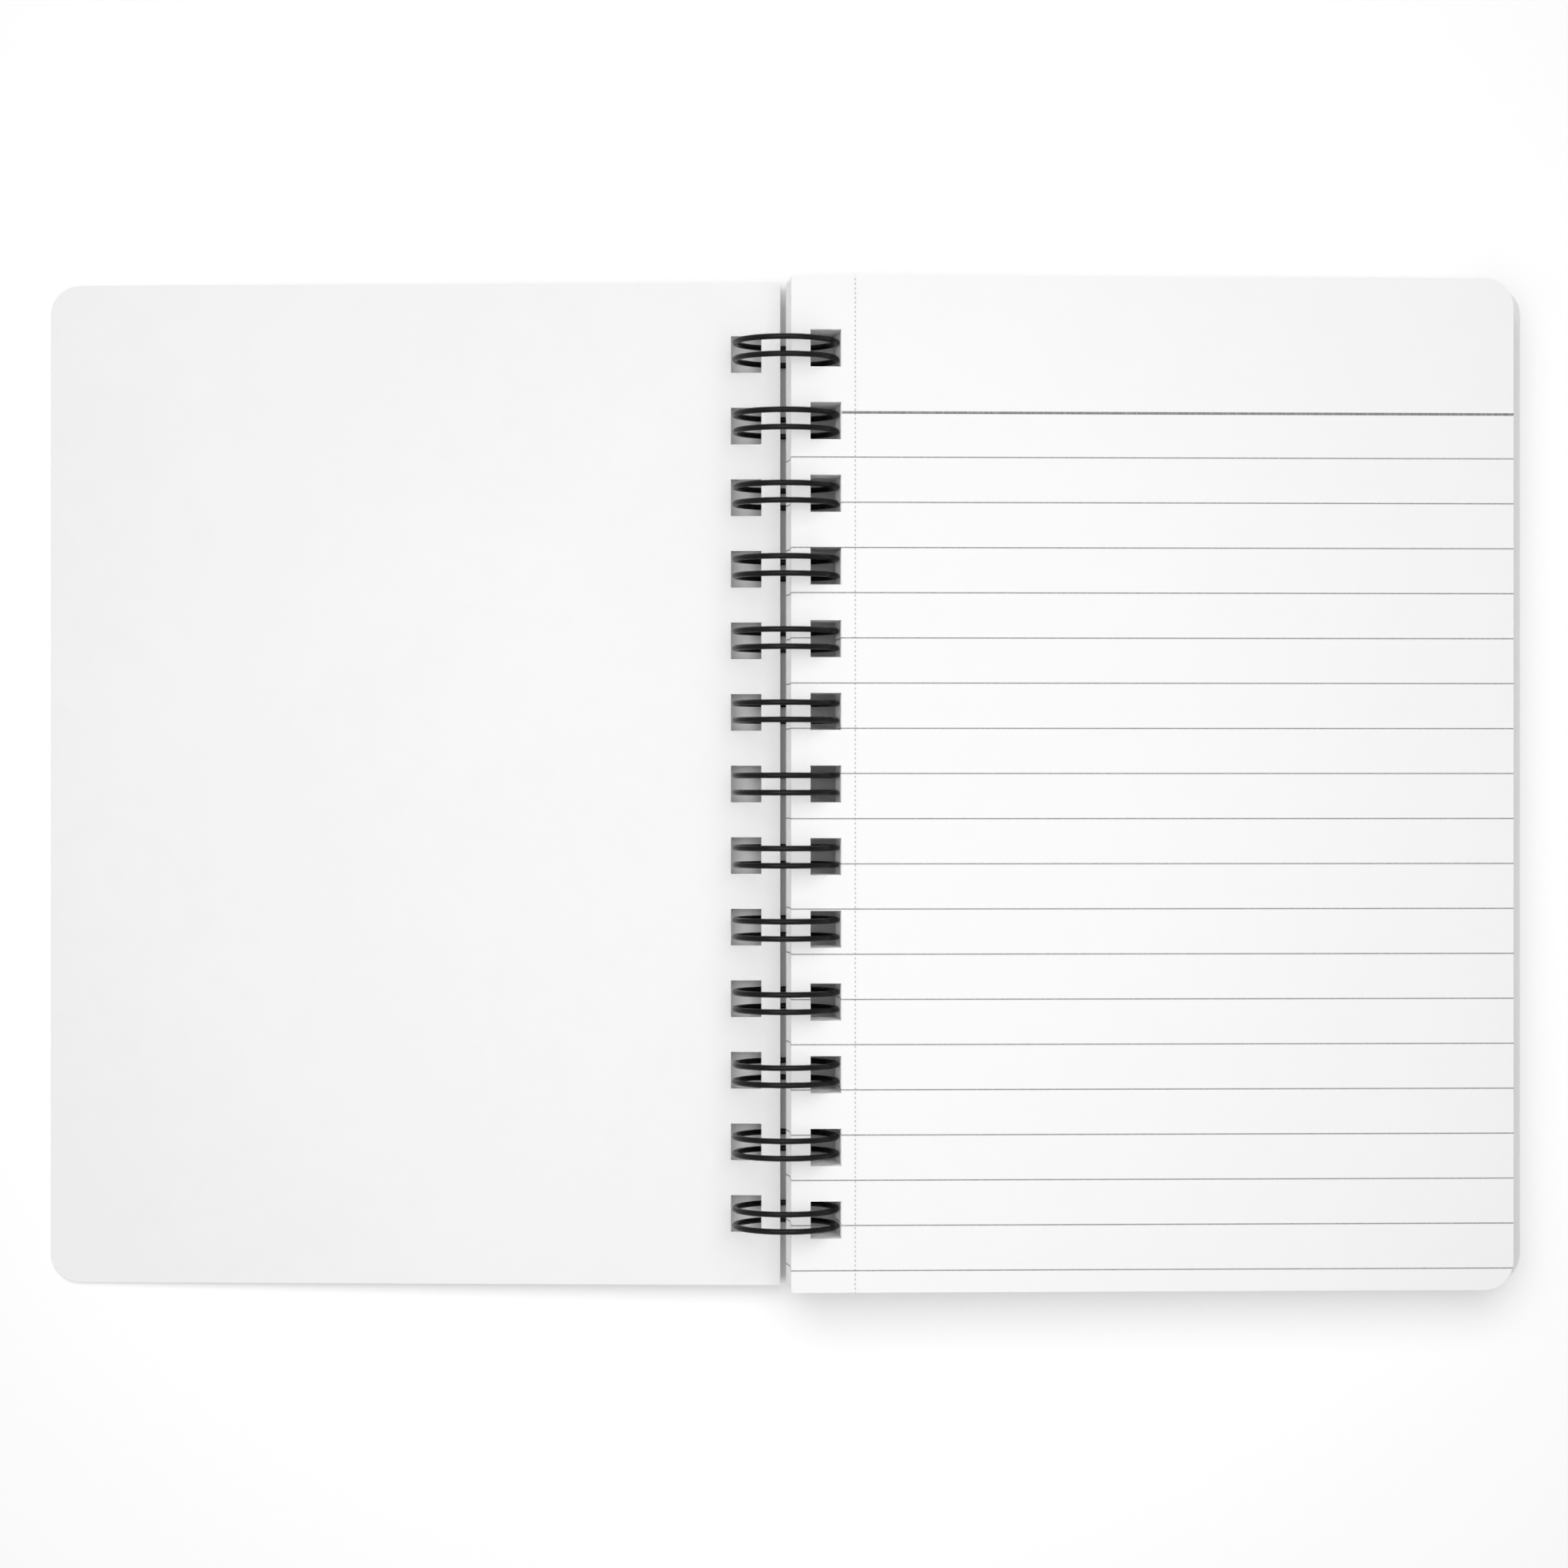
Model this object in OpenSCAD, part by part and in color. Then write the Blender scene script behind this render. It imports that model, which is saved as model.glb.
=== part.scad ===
// Open twin-loop wire-bound notebook: front cover folded open to the left,
// page block on the right with the back cover under it, one bound wire between them.
// Origin on the table under the middle of the rings. +X runs to the pages' outer edge,
// +Y to the head of the pages, +Z up.

/* [Binding wire] */
// Distance from one twin loop to the next
loop_pitch = 12.7; // [10.5:0.1:13.4]
// Distance between the two wires of one twin loop
twin_spacing = 3; // [2:0.1:4]
// Wire diameter
wire_d = 1; // [0.7:0.05:1.1]
// Outer diameter of the closed rings
ring_d = 18.9; // [18.2:0.1:20.5]
// Bend radius of the wire where a loop turns into the bar to the next loop
elbow_r = 1.2; // [0.8:0.1:1.6]
// Length of the cut end of the wire at the first and the last loop
cut_end = 0.8; // [0.3:0.1:3]
// Gap between the tip of a loop and the bars that it closes on
tip_gap = 0.15; // [0.05:0.05:0.5]

/* [Pages] */
// Height of the sheets and the covers, along the spine
leaf_h = 177.8; // [176:0.1:250]
// Width of a sheet, from its punched edge to its outer edge
sheet_w = 127; // [90:1:160]
// Distance from the ring centre to the punched edge of the top sheet
sheet_gap = 0.85; // [0.8:0.05:1.5]
// How much wider the rings are than the thickness of the pages and both covers
ring_room = 8.2; // [8.1:0.1:9.5]
// How far the middle of the block lies below the ring centre
block_low = 0.1; // [0:0.05:0.4]
// How far the rings push the bottom sheet back towards the spine
block_lean = 0.6; // [0.2:0.05:0.7]
// Number of steps in which the lower half of the block follows the rings
lean_steps = 9; // [3:1:12]
// Gap between the bottom sheet and the back cover at the rings
spine_gap = 0.3; // [0.2:0.05:1.5]
// Gap between the bottom sheet's outer edge and the back cover
block_seat = 0.02; // [0.01:0.01:0.2]

/* [Covers] */
// How much wider a cover is than a sheet
cover_margin = 3.2; // [1:0.1:8]
// Thickness of the cover card
card_t = 0.5; // [0.3:0.05:0.6]
// Distance from the ring centre to the punched edge of a cover, along the cover
cover_gap = 1.1; // [1:0.05:1.4]
// Gap that the closed front cover leaves above the top sheet
lay_gap = 0.1; // [0.05:0.05:0.4]

/* [Punching and corners] */
// Height of a punched hole, along the spine
hole_h = 6.5; // [5.8:0.1:8]
// Distance from the punched edge of a leaf to its holes
hole_edge = 3.35; // [3:0.05:3.4]
// Least distance from the head or foot of a leaf to the middle of a hole
hole_end = 10; // [6:0.5:15]
// Gap between the rings, where they are widest, and the outer walls of the sheets' holes
ring_clear = 0.15; // [0.1:0.05:0.5]
// Radius of the outer corners of the sheets and covers
corner_r = 5.2; // [2:0.1:12]

/* [Hidden] */
$fn = 96;

// The wire's centreline circle, and the height of its centre above the table
ring_r = (ring_d - wire_d) / 2;
ring_z = ring_d / 2;

// Thickness of the page block, and distance from the ring centre to the face of its top sheet
block_t = ring_d - ring_room - 2 * card_t;
page_face = block_t / 2 - block_low;

// A hole reaches from the strip at a leaf's punched edge to just past the rings' widest point
hole_w = ring_d / 2 + ring_clear - sheet_gap - hole_edge;

// As many twin loops as there is room for between head and foot
loop_count = floor((leaf_h - 2 * hole_end) / loop_pitch) + 1;

// Every leaf is a line at a distance below the ring centre. Its slope brings the point at
// a reach along it to a drop below the ring centre.
function slope(distance, reach, drop) =
    asin(drop / sqrt(distance * distance + reach * reach)) - atan2(distance, reach);

// Front cover: open on the table, its outer edge down
cover_w = sheet_w + cover_margin;
cover_reach = cover_gap + cover_w;
front_dist = page_face + lay_gap;
front_slope = slope(front_dist + card_t, cover_reach, ring_z);

// Back cover: a gap below the bottom sheet, its outer edge on the table
block_bottom = block_t - page_face;
back_dist = block_bottom + spine_gap;
back_slope = slope(back_dist + card_t, cover_reach, ring_z);

// The block opens from the back cover like a wedge: they meet at the bottom sheet's outer edge
block_reach = sheet_gap - block_lean + sheet_w;
block_slope = back_slope + slope(block_bottom, block_reach, back_dist - block_seat);

// Angles that a loop's bends and its tip take up on the ring, beside the bars that the tip closes on
elbow_span = atan2(elbow_r, ring_r);
tip_span = (wire_d + tip_gap) / ring_r * 180 / PI + atan2(twin_spacing / 2, ring_r);

// Angles about the ring centre from +X towards +Z. The seam of bends, bars and tips lies
// at the bottom of the rings, below the middle of the front cover's punched strip.
seam_x = (cover_gap + hole_edge / 2) * cos(front_slope) - front_dist * sin(front_slope);
seam_angle = -90 - asin(seam_x / ring_r);
bar_angle = seam_angle + (elbow_span - tip_span) / 2;
elbow_angle = bar_angle - elbow_span;
tip_angle = bar_angle + tip_span;

// Angle over which a loop's two halves run together
halves_overlap = 10;

// Distance of a loop from the middle of the spine
function loop_y(i) = (i - (loop_count - 1) / 2) * loop_pitch;

// Outline of a leaf: punched edge on x = 0, outer corners rounded
module leaf_outline(w) {
    difference() {
        union() {
            translate([0, -leaf_h / 2])
                square([w - corner_r, leaf_h]);
            translate([0, corner_r - leaf_h / 2])
                square([w, leaf_h - 2 * corner_r]);
            for (side = [-1, 1])
                translate([w - corner_r, side * (leaf_h / 2 - corner_r)])
                    circle(r = corner_r);
        }
        for (i = [0 : loop_count - 1])
            translate([hole_edge, loop_y(i) - hole_h / 2])
                square([hole_w, hole_h]);
    }
}

// Turns a leaf about the ring centre, so that x runs outwards along it
module on_rings(angle) {
    translate([0, 0, ring_z])
        rotate([0, angle, 0])
            children();
}

module cover_card(angle, distance) {
    on_rings(angle)
        translate([cover_gap, 0, -distance - card_t])
            linear_extrude(height = card_t)
                leaf_outline(cover_w);
}

module front_cover() {
    color("whitesmoke")
        mirror([1, 0, 0])
            cover_card(front_slope, front_dist);
}

module back_cover() {
    color("whitesmoke")
        cover_card(back_slope, back_dist);
}

// The upper half of the block is straight. Below the ring centre each step of sheets
// lies nearer to the spine than the one above it, as the rings curve away under them.
module page_block() {
    step_t = block_bottom / lean_steps;
    color("white")
        on_rings(block_slope) {
            translate([sheet_gap, 0, 0])
                linear_extrude(height = page_face)
                    leaf_outline(sheet_w);
            for (step = [1 : lean_steps])
                translate([sheet_gap - block_lean * pow(step / lean_steps, 2), 0, -step * step_t])
                    linear_extrude(height = step_t)
                        leaf_outline(sheet_w);
        }
}

// Wire section swept round a circle of radius r
module wire_arc(r, angle) {
    rotate_extrude(angle = angle)
        translate([r, 0])
            circle(d = wire_d);
}

// Turns the ring's own plane, x and y, to an angle about the ring centre. z runs along the spine.
module at_angle(angle) {
    translate([0, 0, ring_z])
        rotate([90, 0, 0])
            rotate([0, 0, angle])
                children();
}

// Both legs of a twin loop
module each_leg() {
    for (side = [0, 1])
        mirror([0, 0, side])
            translate([0, 0, twin_spacing / 2])
                children();
}

// The legs' first halves, from the bends that lead them into the bars
module bar_side() {
    each_leg() {
        rotate([0, 0, 180])
            wire_arc(ring_r, 180);
        translate([ring_r, 0, elbow_r])
            rotate([0, 90, 0])
                wire_arc(elbow_r, 90);
    }
}

// The legs' second halves, and the rounded tip that joins them
module tip_side() {
    each_leg()
        wire_arc(ring_r, 180 + elbow_angle - tip_angle + halves_overlap);
    translate([ring_r, 0, 0])
        rotate([0, 90, 180])
            wire_arc(twin_spacing / 2, 180);
}

// Straight wire along the spine, outwards from a loop's bend
module bar(length) {
    translate([ring_r, elbow_r, twin_spacing / 2 + elbow_r])
        cylinder(d = wire_d, h = length);
}

module binding_wire() {
    bar_l = loop_pitch - twin_spacing - 2 * elbow_r;
    color("black") {
        at_angle(elbow_angle) {
            for (i = [0 : loop_count - 1])
                translate([0, 0, loop_y(i)])
                    bar_side();
            for (i = [0 : loop_count - 2])
                translate([0, 0, loop_y(i)])
                    bar(bar_l);
            for (side = [0, 1])
                mirror([0, 0, side])
                    translate([0, 0, loop_y(loop_count - 1)])
                        bar(cut_end);
        }
        at_angle(tip_angle)
            for (i = [0 : loop_count - 1])
                translate([0, 0, loop_y(i)])
                    tip_side();
    }
}

front_cover();
back_cover();
page_block();
binding_wire();
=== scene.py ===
import math
import random

import bmesh
import bpy
from mathutils import Matrix, Vector


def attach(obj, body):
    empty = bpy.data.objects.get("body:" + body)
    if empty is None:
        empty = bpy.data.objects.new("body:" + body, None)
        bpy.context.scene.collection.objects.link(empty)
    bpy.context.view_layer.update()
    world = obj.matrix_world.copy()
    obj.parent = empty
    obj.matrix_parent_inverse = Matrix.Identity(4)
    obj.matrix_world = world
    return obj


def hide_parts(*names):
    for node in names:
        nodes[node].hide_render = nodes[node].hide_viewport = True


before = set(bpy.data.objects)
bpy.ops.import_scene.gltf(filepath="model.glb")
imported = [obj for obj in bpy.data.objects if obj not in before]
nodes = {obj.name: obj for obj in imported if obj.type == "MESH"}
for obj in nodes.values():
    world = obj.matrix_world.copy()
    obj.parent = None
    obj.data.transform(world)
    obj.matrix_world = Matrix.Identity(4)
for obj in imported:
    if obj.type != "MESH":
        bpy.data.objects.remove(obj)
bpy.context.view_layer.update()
print("frame loaded:", ", ".join(sorted(nodes)))


# Lengths are in metres throughout, apart from the lens and its sensor, which are in millimetres.
# Camera: straight down on the open notebook, head of the pages up

cameraView = {
    "x": -0.00028, "height": 0.6295, "lens": 80.89, "sensor": 36,
    "near": 0.02, "far": 20,
}


def addCamera():
    data = bpy.data.cameras.new("camera")
    data.sensor_fit = "HORIZONTAL"
    data.sensor_width = cameraView["sensor"]
    data.lens = cameraView["lens"]
    data.clip_start, data.clip_end = cameraView["near"], cameraView["far"]
    camera = bpy.data.objects.new("camera", data)
    camera.location = (cameraView["x"], 0, cameraView["height"])
    bpy.context.scene.collection.objects.link(camera)
    bpy.context.scene.camera = camera


addCamera()


# Helpers for meshes

def pick(geometry, kind):
    return [item for item in geometry if isinstance(item, kind)]


def placeMesh(mesh, name):
    data = bpy.data.meshes.new(name)
    mesh.to_mesh(data)
    mesh.free()
    piece = bpy.data.objects.new(name, data)
    bpy.context.scene.collection.objects.link(piece)
    return piece


# Helpers for node trees

def connect(tree, value, socket):
    if isinstance(value, bpy.types.NodeSocket):
        tree.links.new(value, socket)
    else:
        socket.default_value = value


def addNode(tree, kind, inputs=None, **settings):
    node = tree.nodes.new(kind)
    for name, value in settings.items():
        setattr(node, name, value)
    for key, value in (inputs or {}).items():
        connect(tree, value, node.inputs[key])
    return node


def maths(tree, operation, *values):
    return addNode(tree, "ShaderNodeMath", dict(enumerate(values)), operation=operation).outputs[0]


def product(tree, first, *others):
    for other in others:
        first = maths(tree, "MULTIPLY", first, other)
    return first


def remap(tree, value, fromLow, fromHigh, toLow=0.0, toHigh=1.0):
    return addNode(tree, "ShaderNodeMapRange", {
        "Value": value, "From Min": fromLow, "From Max": fromHigh,
        "To Min": toLow, "To Max": toHigh}, interpolation_type="SMOOTHSTEP").outputs["Result"]


def blendColours(tree, factor, first, second):
    # The Mix node has sockets of one name for each type, so its colour sockets go by number
    node = addNode(tree, "ShaderNodeMix", data_type="RGBA")
    connect(tree, factor, node.inputs[0])
    connect(tree, first, node.inputs[6])
    connect(tree, second, node.inputs[7])
    return node.outputs[2]


def newMaterial(name):
    material = bpy.data.materials.new(name)
    material.use_nodes = True
    tree = material.node_tree
    tree.nodes.clear()
    shader = addNode(tree, "ShaderNodeBsdfPrincipled")
    output = addNode(tree, "ShaderNodeOutputMaterial")
    tree.links.new(shader.outputs[0], output.inputs["Surface"])
    return material, tree, shader


def newGroup(name, inputs, outputs):
    group = bpy.data.node_groups.new(name, "ShaderNodeTree")
    for label, kind in inputs:
        group.interface.new_socket(label, in_out="INPUT", socket_type=kind)
    for label in outputs:
        group.interface.new_socket(label, in_out="OUTPUT", socket_type="NodeSocketFloat")
    given = group.nodes.new("NodeGroupInput").outputs
    out = group.nodes.new("NodeGroupOutput").inputs
    return group, given, out


def placeGroup(tree, group, inputs=None):
    return addNode(tree, "ShaderNodeGroup", inputs, node_tree=group).outputs


# Effects that several materials share. Turns are in radians.

pulp = {
    "cloudDetail": 3.0, "cloudRoughness": 0.6, "cloudFrom": 0.35, "cloudTo": 0.75,
    "fibreTurns": (0.35, 1.75), "fibreAlong": 0.22, "fibreDetail": 2.0, "fibreRoughness": 0.55,
}

cutEdge = {"wallUpTo": 0.5, "faceFrom": 0.8}

handling = {"detail": 4.0, "roughness": 0.5, "patchFrom": 0.42, "patchTo": 0.66}


def makeFibre():
    # Pulp: cloudy mottling, and fibres that lie at two angles
    group, given, out = newGroup("pulpFibre", [
        ("Vector", "NodeSocketVector"), ("Cloud Size", "NodeSocketFloat"),
        ("Fibre Size", "NodeSocketFloat")], ["Cloud", "Fibre"])
    cloud = addNode(group, "ShaderNodeTexNoise", {
        "Vector": given["Vector"], "Scale": maths(group, "DIVIDE", 1.0, given["Cloud Size"]),
        "Detail": pulp["cloudDetail"], "Roughness": pulp["cloudRoughness"]})
    fibreScale = maths(group, "DIVIDE", 1.0, given["Fibre Size"])
    laid = []
    for turn in pulp["fibreTurns"]:
        turned = addNode(group, "ShaderNodeMapping", {
            "Vector": given["Vector"], "Rotation": (0, 0, turn),
            "Scale": (1, pulp["fibreAlong"], 1)})
        laid.append(addNode(group, "ShaderNodeTexNoise", {
            "Vector": turned.outputs[0], "Scale": fibreScale,
            "Detail": pulp["fibreDetail"], "Roughness": pulp["fibreRoughness"]}).outputs[0])
    group.links.new(cloud.outputs[0], out["Cloud"])
    group.links.new(maths(group, "MAXIMUM", *laid), out["Fibre"])
    return group


def makeCutEdge():
    # 1 on a leaf's cut edges and hole walls, 0 on its two faces
    group, _, out = newGroup("cutEdge", [], ["Edge"])
    normal = addNode(group, "ShaderNodeTexCoord").outputs["Normal"]
    upright = addNode(group, "ShaderNodeSeparateXYZ", {0: normal}).outputs["Z"]
    edge = remap(group, maths(group, "ABSOLUTE", upright),
                 cutEdge["wallUpTo"], cutEdge["faceFrom"], 1.0, 0.0)
    group.links.new(edge, out["Edge"])
    return group


def makeHandling():
    # Broad soft patches where hands have left a surface a little smoother
    group, given, out = newGroup("handling", [
        ("Vector", "NodeSocketVector"), ("Size", "NodeSocketFloat")], ["Patch"])
    patches = addNode(group, "ShaderNodeTexNoise", {
        "Vector": given["Vector"], "Scale": maths(group, "DIVIDE", 1.0, given["Size"]),
        "Detail": handling["detail"], "Roughness": handling["roughness"]})
    patch = remap(group, patches.outputs[0], handling["patchFrom"], handling["patchTo"])
    group.links.new(patch, out["Patch"])
    return group


fibreGroup, cutEdgeGroup, handlingGroup = makeFibre(), makeCutEdge(), makeHandling()


def smoothByHandling(tree, shader, place, look):
    patch = placeGroup(tree, handlingGroup, {"Vector": place, "Size": look["patchSize"]})["Patch"]
    rough = remap(tree, patch, 0, 1, look["roughness"], look["smoothed"])
    connect(tree, rough, shader.inputs["Roughness"])
    return patch


def addGrain(tree, height, look):
    return addNode(tree, "ShaderNodeBump", {
        "Height": height, "Strength": look["grain"], "Distance": look["grainDepth"]}).outputs[0]


def pulpSurface(tree, shader, look):
    # What card and paper share. Gives the place, the fibres, the cut edges, the colour of the
    # face and the grain.
    place = addNode(tree, "ShaderNodeTexCoord").outputs["Object"]
    fibre = placeGroup(tree, fibreGroup, {
        "Vector": place, "Cloud Size": look["cloudSize"], "Fibre Size": look["fibreSize"]})
    cloud = remap(tree, fibre["Cloud"], pulp["cloudFrom"], pulp["cloudTo"])
    face = blendColours(tree, cloud, look["face"], look["shade"])
    smoothByHandling(tree, shader, place, look)
    shader.inputs["Specular IOR Level"].default_value = look["gloss"]
    edge = placeGroup(tree, cutEdgeGroup)["Edge"]
    return place, fibre["Fibre"], edge, face, addGrain(tree, fibre["Fibre"], look)


# Covers: uncoated white card

card = {
    "face": (0.935, 0.935, 0.937, 1), "shade": (0.925, 0.925, 0.927, 1),
    "core": (0.82, 0.815, 0.80, 1),
    "cloudSize": 0.006, "fibreSize": 0.0005, "patchSize": 0.05,
    "roughness": 0.72, "smoothed": 0.62, "gloss": 0.35,
    "grain": 0.12, "grainDepth": 0.0001,
}


def cardMaterial():
    material, tree, shader = newMaterial("coverCard")
    _, _, edge, face, grain = pulpSurface(tree, shader, card)
    connect(tree, blendColours(tree, edge, face, card["core"]), shader.inputs["Base Color"])
    connect(tree, grain, shader.inputs["Normal"])
    return material


coverCard = cardMaterial()
for name in ("front_cover", "back_cover"):
    for slot in nodes[name].material_slots:
        slot.material = coverCard
print("covers finished")


# The rings that carry the leaves: the height of their centre, and the radius of their wire's
# centreline

rings = {"centre": 0.00945, "radius": 0.00895}


# Pages: ninety-five ruled sheets, punched and perforated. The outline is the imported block's.

stack = {
    "sheets": 95, "paperShare": 0.86, "lean": 0.0006,
    "slip": 0.00005, "turn": 0.0003, "seed": 11,
    "weld": 1e-6, "facingUp": 0.9, "levelWithin": 2e-6,
}

ruling = {
    "face": (0.962, 0.962, 0.964, 1), "shade": (0.955, 0.955, 0.957, 1),
    "edgeLight": (0.93, 0.927, 0.918, 1), "edgeDark": (0.80, 0.797, 0.785, 1),
    "headerInk": (0.20, 0.204, 0.212, 1), "lineInk": (0.30, 0.304, 0.313, 1),
    "headerY": 0.06493, "headerWidth": 0.00046, "headerFrom": 0.0098,
    "lastY": -0.08505, "pitch": 0.007899, "lines": 19, "lineWidth": 0.000225,
    "soft": 0.00005, "edgeInk": 0.45,
    "fibreFrom": 0.4, "fibreTo": 0.75, "fibreInk": 0.82,
    "perforationX": 0.01218, "perforationWidth": 0.00016, "perforationPitch": 0.000813,
    # The perforation's grey below is painted shade in the slits, not ink
    "paintedSlitShade": (0.46, 0.46, 0.465, 1), "bridgeTo": 0.2, "slitFrom": 0.28, "pressed": 0.5,
    "cloudSize": 0.005, "fibreSize": 0.00035, "patchSize": 0.06,
    "roughness": 0.86, "smoothed": 0.8, "gloss": 0.25,
    "grain": 0.1, "grainDepth": 0.0001,
}


def topSheet():
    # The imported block's top face, cut loose as one leaf outline with its holes. Also gives the
    # direction it faces, and the block's highest and lowest level in that direction.
    mesh = bmesh.new()
    mesh.from_mesh(nodes["page_block"].data)
    bmesh.ops.remove_doubles(mesh, verts=mesh.verts, dist=stack["weld"])
    mesh.normal_update()
    upper = [f for f in mesh.faces if f.normal.z > stack["facingUp"]]
    up = max(upper, key=lambda f: f.calc_area()).normal.copy()
    levels = [v.co.dot(up) for v in mesh.verts]
    high, low = max(levels), min(levels)
    topLevel = high - stack["levelWithin"]
    lower = [f for f in mesh.faces if f.calc_center_median().dot(up) < topLevel]
    bmesh.ops.delete(mesh, geom=lower, context="FACES")
    return mesh, up, high, low


def makePages():
    mesh, up, high, low = topSheet()
    pitch = (high - low) / stack["sheets"]
    centre = Vector((0, 0, rings["centre"])).dot(up)
    along = Vector((0, 1, 0)).cross(up).normalized()
    draw = random.Random(stack["seed"])
    tone = mesh.faces.layers.float.new("sheetTone")
    sides = bmesh.ops.extrude_face_region(mesh, geom=mesh.faces[:], use_keep_orig=True)
    lowered = pick(sides["geom"], bmesh.types.BMVert)
    bmesh.ops.translate(mesh, verts=lowered, vec=-up * pitch * stack["paperShare"])
    first = mesh.verts[:] + mesh.edges[:] + mesh.faces[:]
    for number in range(1, stack["sheets"]):
        copy = bmesh.ops.duplicate(mesh, geom=first)["geom"]
        verts = pick(copy, bmesh.types.BMVert)
        depth = pitch * number

        # Below the ring centre the sheets lie nearer to the spine, as the rings curve away
        below = max(0, (centre - (high - depth - pitch)) / (centre - low))
        shift = -stack["lean"] * below ** 2 + draw.uniform(-1, 1) * stack["slip"]
        slide = draw.uniform(-1, 1) * stack["slip"]
        turn = Matrix.Rotation(draw.uniform(-1, 1) * stack["turn"], 3, up)
        move = along * shift + Vector((0, slide, 0)) - up * depth
        bmesh.ops.rotate(mesh, verts=verts, cent=(0, 0, 0), matrix=turn)
        bmesh.ops.translate(mesh, verts=verts, vec=move)
        shade = draw.random()
        for face in pick(copy, bmesh.types.BMFace):
            face[tone] = shade
    bmesh.ops.recalc_face_normals(mesh, faces=mesh.faces)

    # Flat, so that no shading fans out from the corners of the holes
    for face in mesh.faces:
        face.smooth = False
    return placeMesh(mesh, "pages")


def lineMask(tree, value, middle, width):
    # 1 on a line of this width, 0 beside it, with slightly soft sides
    away = maths(tree, "ABSOLUTE", maths(tree, "SUBTRACT", value, middle))
    half, soft = width / 2, ruling["soft"]
    return remap(tree, away, half - soft, half + soft, 1.0, 0.0)


def linePattern(tree, x, y):
    # Thin lines: the distance to the nearest of the evenly spaced ones
    row = maths(tree, "DIVIDE", maths(tree, "SUBTRACT", y, ruling["lastY"]), ruling["pitch"])
    row = maths(tree, "ROUND", row)
    middle = maths(tree, "MULTIPLY_ADD", row, ruling["pitch"], ruling["lastY"])
    thin = product(tree, lineMask(tree, y, middle, ruling["lineWidth"]),
                   maths(tree, "GREATER_THAN", row, -0.5),
                   maths(tree, "LESS_THAN", row, ruling["lines"] - 0.5))
    header = product(tree, lineMask(tree, y, ruling["headerY"], ruling["headerWidth"]),
                     maths(tree, "GREATER_THAN", x, ruling["headerFrom"]))
    return thin, header


def slitPattern(tree, x, y):
    # Perforation: a row of short slits, with a bridge of paper between one and the next. The
    # slits are later coloured grey, a painted shade for the dark of the cuts.
    column = lineMask(tree, x, ruling["perforationX"], ruling["perforationWidth"])
    pitch = ruling["perforationPitch"]
    beat = maths(tree, "PINGPONG", y, pitch / 2)
    slit = remap(tree, beat, pitch * ruling["bridgeTo"], pitch * ruling["slitFrom"])
    return product(tree, column, slit)


def pageMaterial():
    material, tree, shader = newMaterial("pagePaper")
    place, fibre, edge, face, grain = pulpSurface(tree, shader, ruling)
    parts = addNode(tree, "ShaderNodeSeparateXYZ", {0: place}).outputs
    thin, header = linePattern(tree, parts["X"], parts["Y"])
    slits = product(tree, slitPattern(tree, parts["X"], parts["Y"]),
                    maths(tree, "SUBTRACT", 1.0, edge))

    # Ink takes less well on raised fibres, and only the ends of the lines show on a cut edge
    ink = product(
        tree,
        remap(tree, fibre, ruling["fibreFrom"], ruling["fibreTo"], 1.0, ruling["fibreInk"]),
        remap(tree, edge, 0, 1, 1.0, ruling["edgeInk"]))

    tone = addNode(tree, "ShaderNodeAttribute", attribute_name="sheetTone").outputs["Fac"]
    edgeColour = blendColours(tree, tone, ruling["edgeLight"], ruling["edgeDark"])
    colour = blendColours(tree, edge, face, edgeColour)
    # The slits get a grey that is painted shade; the two line colours are printed ink
    for amount, over in ((slits, "paintedSlitShade"), (product(tree, thin, ink), "lineInk"),
                         (product(tree, header, ink), "headerInk")):
        colour = blendColours(tree, amount, colour, ruling[over])
    connect(tree, colour, shader.inputs["Base Color"])
    pressed = addNode(tree, "ShaderNodeBump", {
        "Height": slits, "Strength": ruling["pressed"], "Distance": ruling["grainDepth"],
        "Normal": grain}, invert=True)
    connect(tree, pressed.outputs[0], shader.inputs["Normal"])
    return material


pages = makePages()
pages.data.materials.append(pageMaterial())
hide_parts("page_block")
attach(pages, "pages_and_wire")
print("pages:", stack["sheets"], "sheets,", len(pages.data.polygons), "faces")


# Binding: one black coated wire bent into thirteen twin loops. Angles are in degrees about the
# ring centre, from +X towards +Z.

wire = {
    "loops": 13, "pitch": 0.0127, "twin": 0.003, "radius": 0.0005,
    "elbow": 0.0012, "cutEnd": 0.0008, "elbowAngle": -119.2924, "tipAngle": -94.7796,
    "sides": 16, "ringSteps": 84, "elbowSteps": 8, "tipSteps": 12, "barSteps": 4, "weld": 1e-7,
    "coating": (0.0015, 0.0015, 0.0017, 1), "rubbed": (0.004, 0.004, 0.0042, 1),
    "roughness": 0.36, "smoothed": 0.26, "patchSize": 0.004, "gloss": 0.14,
    "peelScale": 2600.0, "peelDetail": 2.0, "grain": 0.06, "grainDepth": 0.0001,
}


def outFrom(angle):
    turn = math.radians(angle)
    return Vector((math.cos(turn), 0, math.sin(turn)))


def onRing(angle, y):
    return Vector((0, y, rings["centre"])) + outFrom(angle) * rings["radius"]


def bend(mesh, section, centre, axis, degrees, steps):
    swept = bmesh.ops.spin(
        mesh, geom=section, cent=centre, axis=axis, angle=math.radians(degrees), steps=steps,
        use_merge=False, use_duplicate=False)
    return pick(swept["geom_last"], bmesh.types.BMEdge)


def straight(mesh, section, length, steps=1):
    for _ in range(steps):
        drawn = bmesh.ops.extrude_edge_only(mesh, edges=section)["geom"]
        moved = pick(drawn, bmesh.types.BMVert)
        bmesh.ops.translate(mesh, verts=moved, vec=(0, length / steps, 0))
        section = [e for e in pick(drawn, bmesh.types.BMEdge) if all(v in moved for v in e.verts)]
    return section


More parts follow.
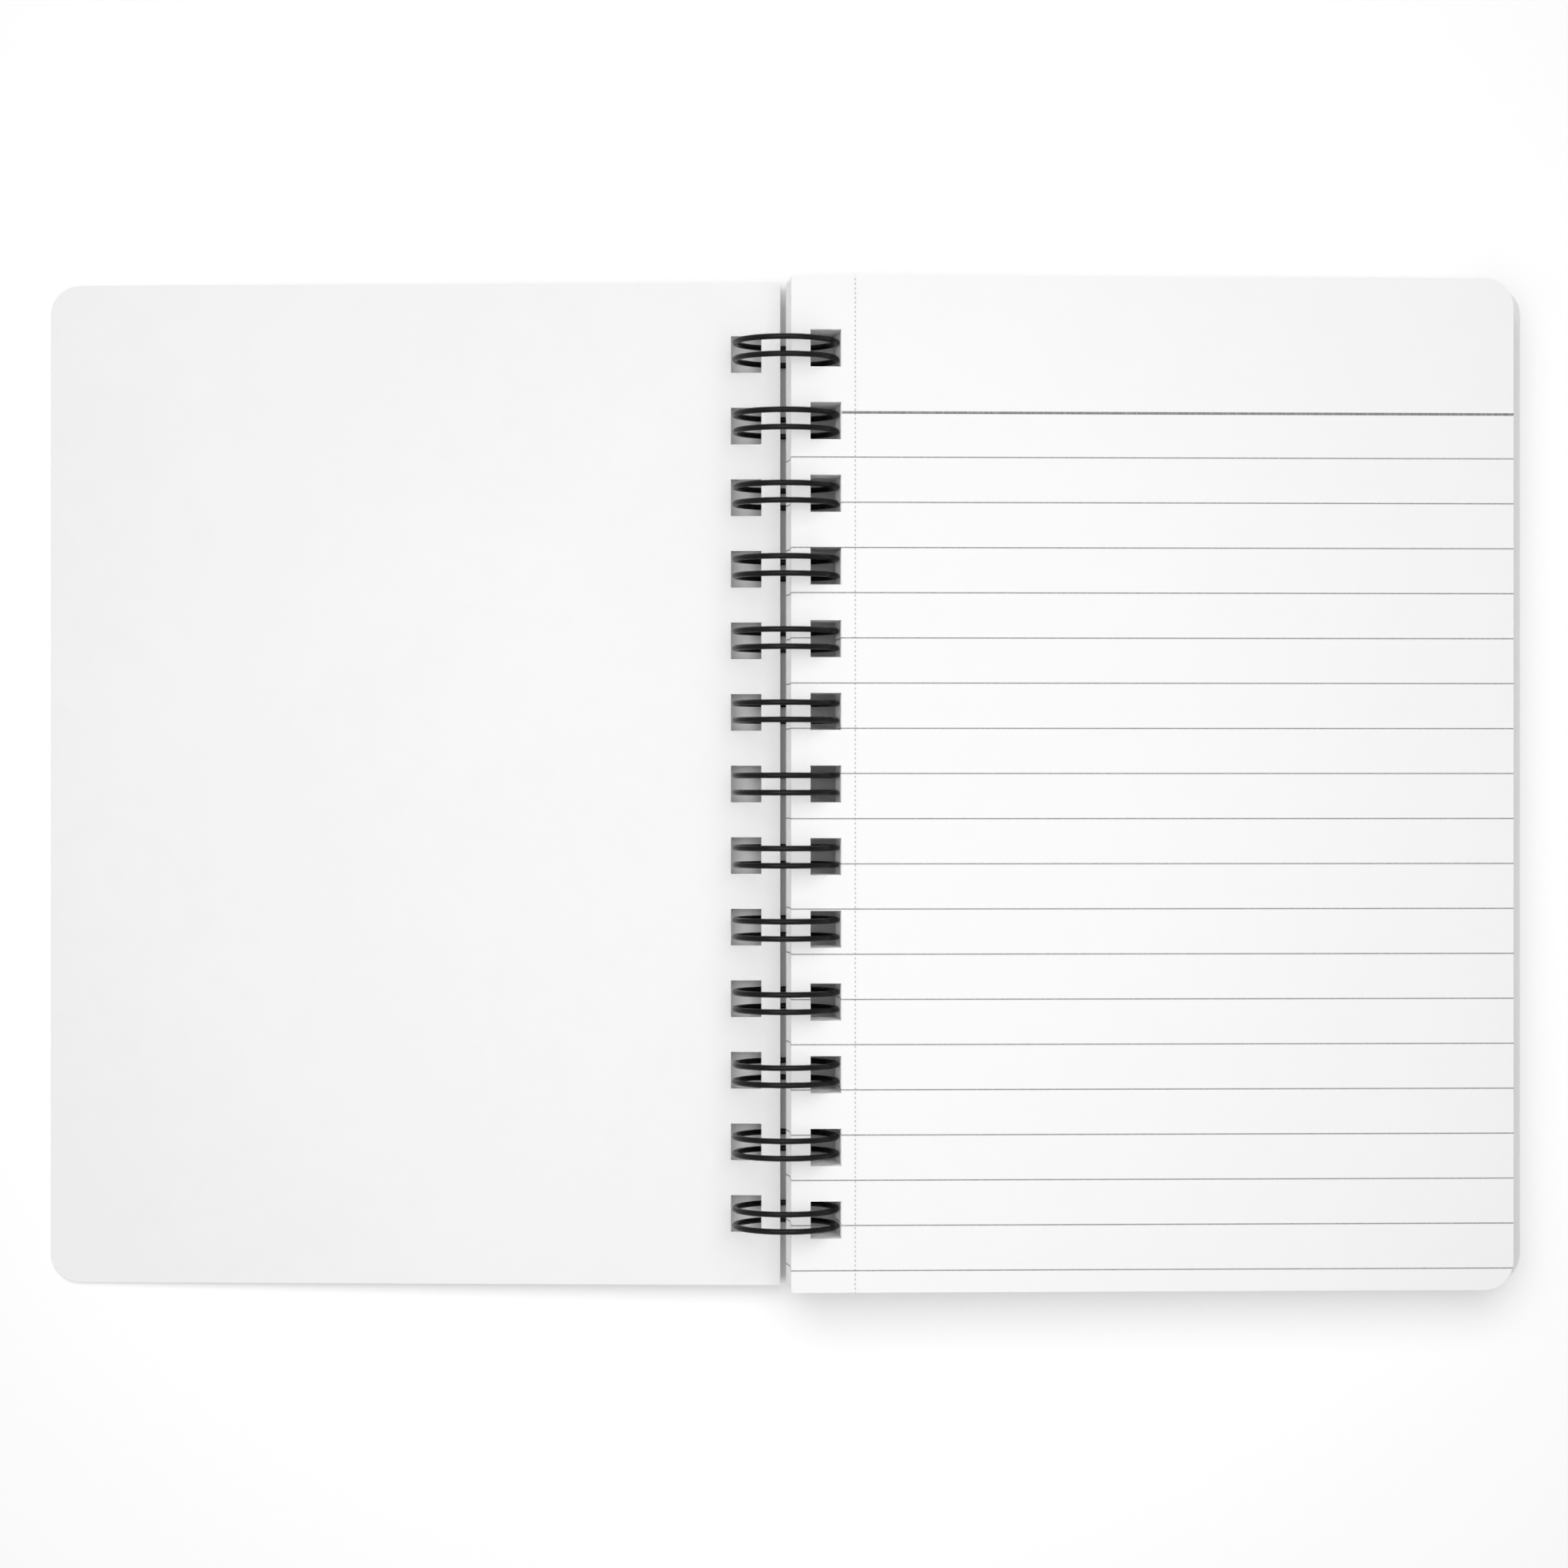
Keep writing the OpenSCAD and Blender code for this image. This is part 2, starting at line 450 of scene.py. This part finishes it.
def makeWire():
    elbowAngle, tipAngle, elbow = wire["elbowAngle"], wire["tipAngle"], wire["elbow"]
    sweep = 360 + elbowAngle - tipAngle
    reach = wire["twin"] / 2 + elbow
    barLength = wire["pitch"] - 2 * reach
    firstLoop = -(wire["loops"] - 1) / 2 * wire["pitch"]

    # The cut end, a disc across the spine on the line of the bars
    mesh = bmesh.new()
    start = onRing(elbowAngle, firstLoop - reach - wire["cutEnd"])
    start += outFrom(elbowAngle + 90) * elbow
    bmesh.ops.create_circle(
        mesh, cap_ends=True, radius=wire["radius"], segments=wire["sides"],
        matrix=Matrix.Translation(start) @ Matrix.Rotation(math.radians(90), 4, "X"))
    section = straight(mesh, mesh.edges[:], wire["cutEnd"])

    # Each loop: bend into the first leg, round the ring, round the tip, back, bend into the bar
    for loop in range(wire["loops"]):
        y = firstLoop + loop * wire["pitch"]
        middle, spine = Vector((0, y, rings["centre"])), Vector((0, 1, 0))
        for centre, axis, degrees, steps in (
                (onRing(elbowAngle, y - reach), -outFrom(elbowAngle), 90, wire["elbowSteps"]),
                (middle, spine, sweep, wire["ringSteps"]),
                (onRing(tipAngle, y), outFrom(tipAngle), 180, wire["tipSteps"]),
                (middle, spine, -sweep, wire["ringSteps"]),
                (onRing(elbowAngle, y + reach), -outFrom(elbowAngle), 90, wire["elbowSteps"])):
            section = bend(mesh, section, centre, axis, degrees, steps)
        if loop < wire["loops"] - 1:
            section = straight(mesh, section, barLength, wire["barSteps"])
    section = straight(mesh, section, wire["cutEnd"])
    bmesh.ops.contextual_create(mesh, geom=section)
    bmesh.ops.remove_doubles(mesh, verts=mesh.verts, dist=wire["weld"])
    bmesh.ops.recalc_face_normals(mesh, faces=mesh.faces)

    # Round along its length, with two flat cut ends
    for face in mesh.faces:
        face.smooth = len(face.verts) == 4
    return placeMesh(mesh, "bindingWire")


def wireMaterial():
    material, tree, shader = newMaterial("blackCoatedWire")
    place = addNode(tree, "ShaderNodeTexCoord").outputs["Object"]
    patch = smoothByHandling(tree, shader, place, wire)
    colour = blendColours(tree, patch, wire["coating"], wire["rubbed"])
    connect(tree, colour, shader.inputs["Base Color"])
    peel = addNode(tree, "ShaderNodeTexNoise", {
        "Vector": place, "Scale": wire["peelScale"], "Detail": wire["peelDetail"]})
    connect(tree, addGrain(tree, peel.outputs[0], wire), shader.inputs["Normal"])
    shader.inputs["Specular IOR Level"].default_value = wire["gloss"]
    return material


binding = makeWire()
binding.data.materials.append(wireMaterial())
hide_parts("binding_wire")
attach(binding, "pages_and_wire")
print("wire:", len(binding.data.polygons), "faces")


# Table top and light: a large soft lamp from the head of the pages, a smaller low one over the
# spine, and an even pale room. Powers are in watts. Under the rings the floor isn't lifted, which
# leaves painted shade there: not lifted within the first number of each pair from the middle, and
# fully lifted beyond the second.

room = {
    "floor": (0.86, 0.86, 0.86, 1), "floorSize": 6.0, "floorDrop": 0.00002,
    "floorLift": 0.23, "farFrom": 0.2, "farTo": 0.42, "sky": 0.285,
    "paintedShadeUnderRings": {"X": (0.0105, 0.016), "Y": (0.0875, 0.0895)},
    "lamps": {
        "softLamp": {
            "place": (-0.042, 0.325, 0.886), "target": (0, 0, 0),
            "width": 0.995, "power": 5.6},
        "topLamp": {
            "place": (-0.002, -0.032, 0.216), "target": (-0.002, -0.032, 0),
            "width": 0.317, "power": 0.214},
    },
}


def seenDirectly(tree):
    # 1 for what the camera sees, also in a reflection or through glass
    path = addNode(tree, "ShaderNodeLightPath").outputs
    seen = maths(tree, "MAXIMUM", path["Is Camera Ray"], path["Is Glossy Ray"])
    return maths(tree, "MAXIMUM", seen, path["Is Transmission Ray"])


def floorMaterial():
    # Pale and matt. Seen directly it is lifted towards white and keeps the shadow, except under
    # the rings, where leaving it unlifted paints shade; far from the notebook it is plain white.
    material, tree, shader = newMaterial("tableTop")
    shader.inputs["Base Color"].default_value = room["floor"]
    shader.inputs["Roughness"].default_value = 1.0
    shader.inputs["Specular IOR Level"].default_value = 0.0
    seen = seenDirectly(tree)
    place = addNode(tree, "ShaderNodeTexCoord").outputs["Object"]
    parts = addNode(tree, "ShaderNodeSeparateXYZ", {0: place}).outputs
    # Painted shade: under the rings the lift is held back, so the floor there stays darker
    clear = maths(tree, "MAXIMUM", *(
        remap(tree, maths(tree, "ABSOLUTE", parts[axis]), *limits)
        for axis, limits in room["paintedShadeUnderRings"].items()))
    strength = product(tree, seen, clear, room["floorLift"])
    lift = addNode(tree, "ShaderNodeEmission", {"Strength": strength})
    lifted = addNode(tree, "ShaderNodeAddShader", {0: shader.outputs[0], 1: lift.outputs[0]})
    white = addNode(tree, "ShaderNodeEmission", {"Strength": 1.0})
    away = addNode(tree, "ShaderNodeVectorMath", {0: place}, operation="LENGTH").outputs["Value"]
    far = product(tree, seen, remap(tree, away, room["farFrom"], room["farTo"]))
    surface = addNode(tree, "ShaderNodeMixShader", {
        0: far, 1: lifted.outputs[0], 2: white.outputs[0]})
    output = next(n for n in tree.nodes if n.type == "OUTPUT_MATERIAL")
    tree.links.new(surface.outputs[0], output.inputs["Surface"])
    return material


def makeFloor():
    mesh = bmesh.new()
    bmesh.ops.create_grid(
        mesh, x_segments=2, y_segments=2, size=room["floorSize"] / 2,
        matrix=Matrix.Translation((0, 0, -room["floorDrop"])))
    floor = placeMesh(mesh, "floor")
    floor.data.materials.append(floorMaterial())


def makeLamps():
    for name, given in room["lamps"].items():
        data = bpy.data.lights.new(name, "AREA")
        data.shape = "SQUARE"
        data.size = given["width"]
        data.energy = given["power"]
        lamp = bpy.data.objects.new(name, data)
        lamp.location = given["place"]
        back = Vector(given["place"]) - Vector(given["target"])
        lamp.rotation_euler = back.to_track_quat("Z", "Y").to_euler()
        lamp.visible_camera = False
        bpy.context.scene.collection.objects.link(lamp)


def makeSky():
    # White where it is seen, and dimmer where it only lights the notebook
    world = bpy.data.worlds.new("paleRoom")
    world.use_nodes = True
    tree = world.node_tree
    tree.nodes.clear()
    strength = remap(tree, seenDirectly(tree), 0, 1, room["sky"], 1.0)
    sky = addNode(tree, "ShaderNodeBackground", {"Color": (1, 1, 1, 1), "Strength": strength})
    output = addNode(tree, "ShaderNodeOutputWorld")
    tree.links.new(sky.outputs[0], output.inputs["Surface"])
    bpy.context.scene.world = world


makeFloor()
makeLamps()
makeSky()
bpy.context.scene.view_settings.view_transform = "Standard"
print("room and light ready")
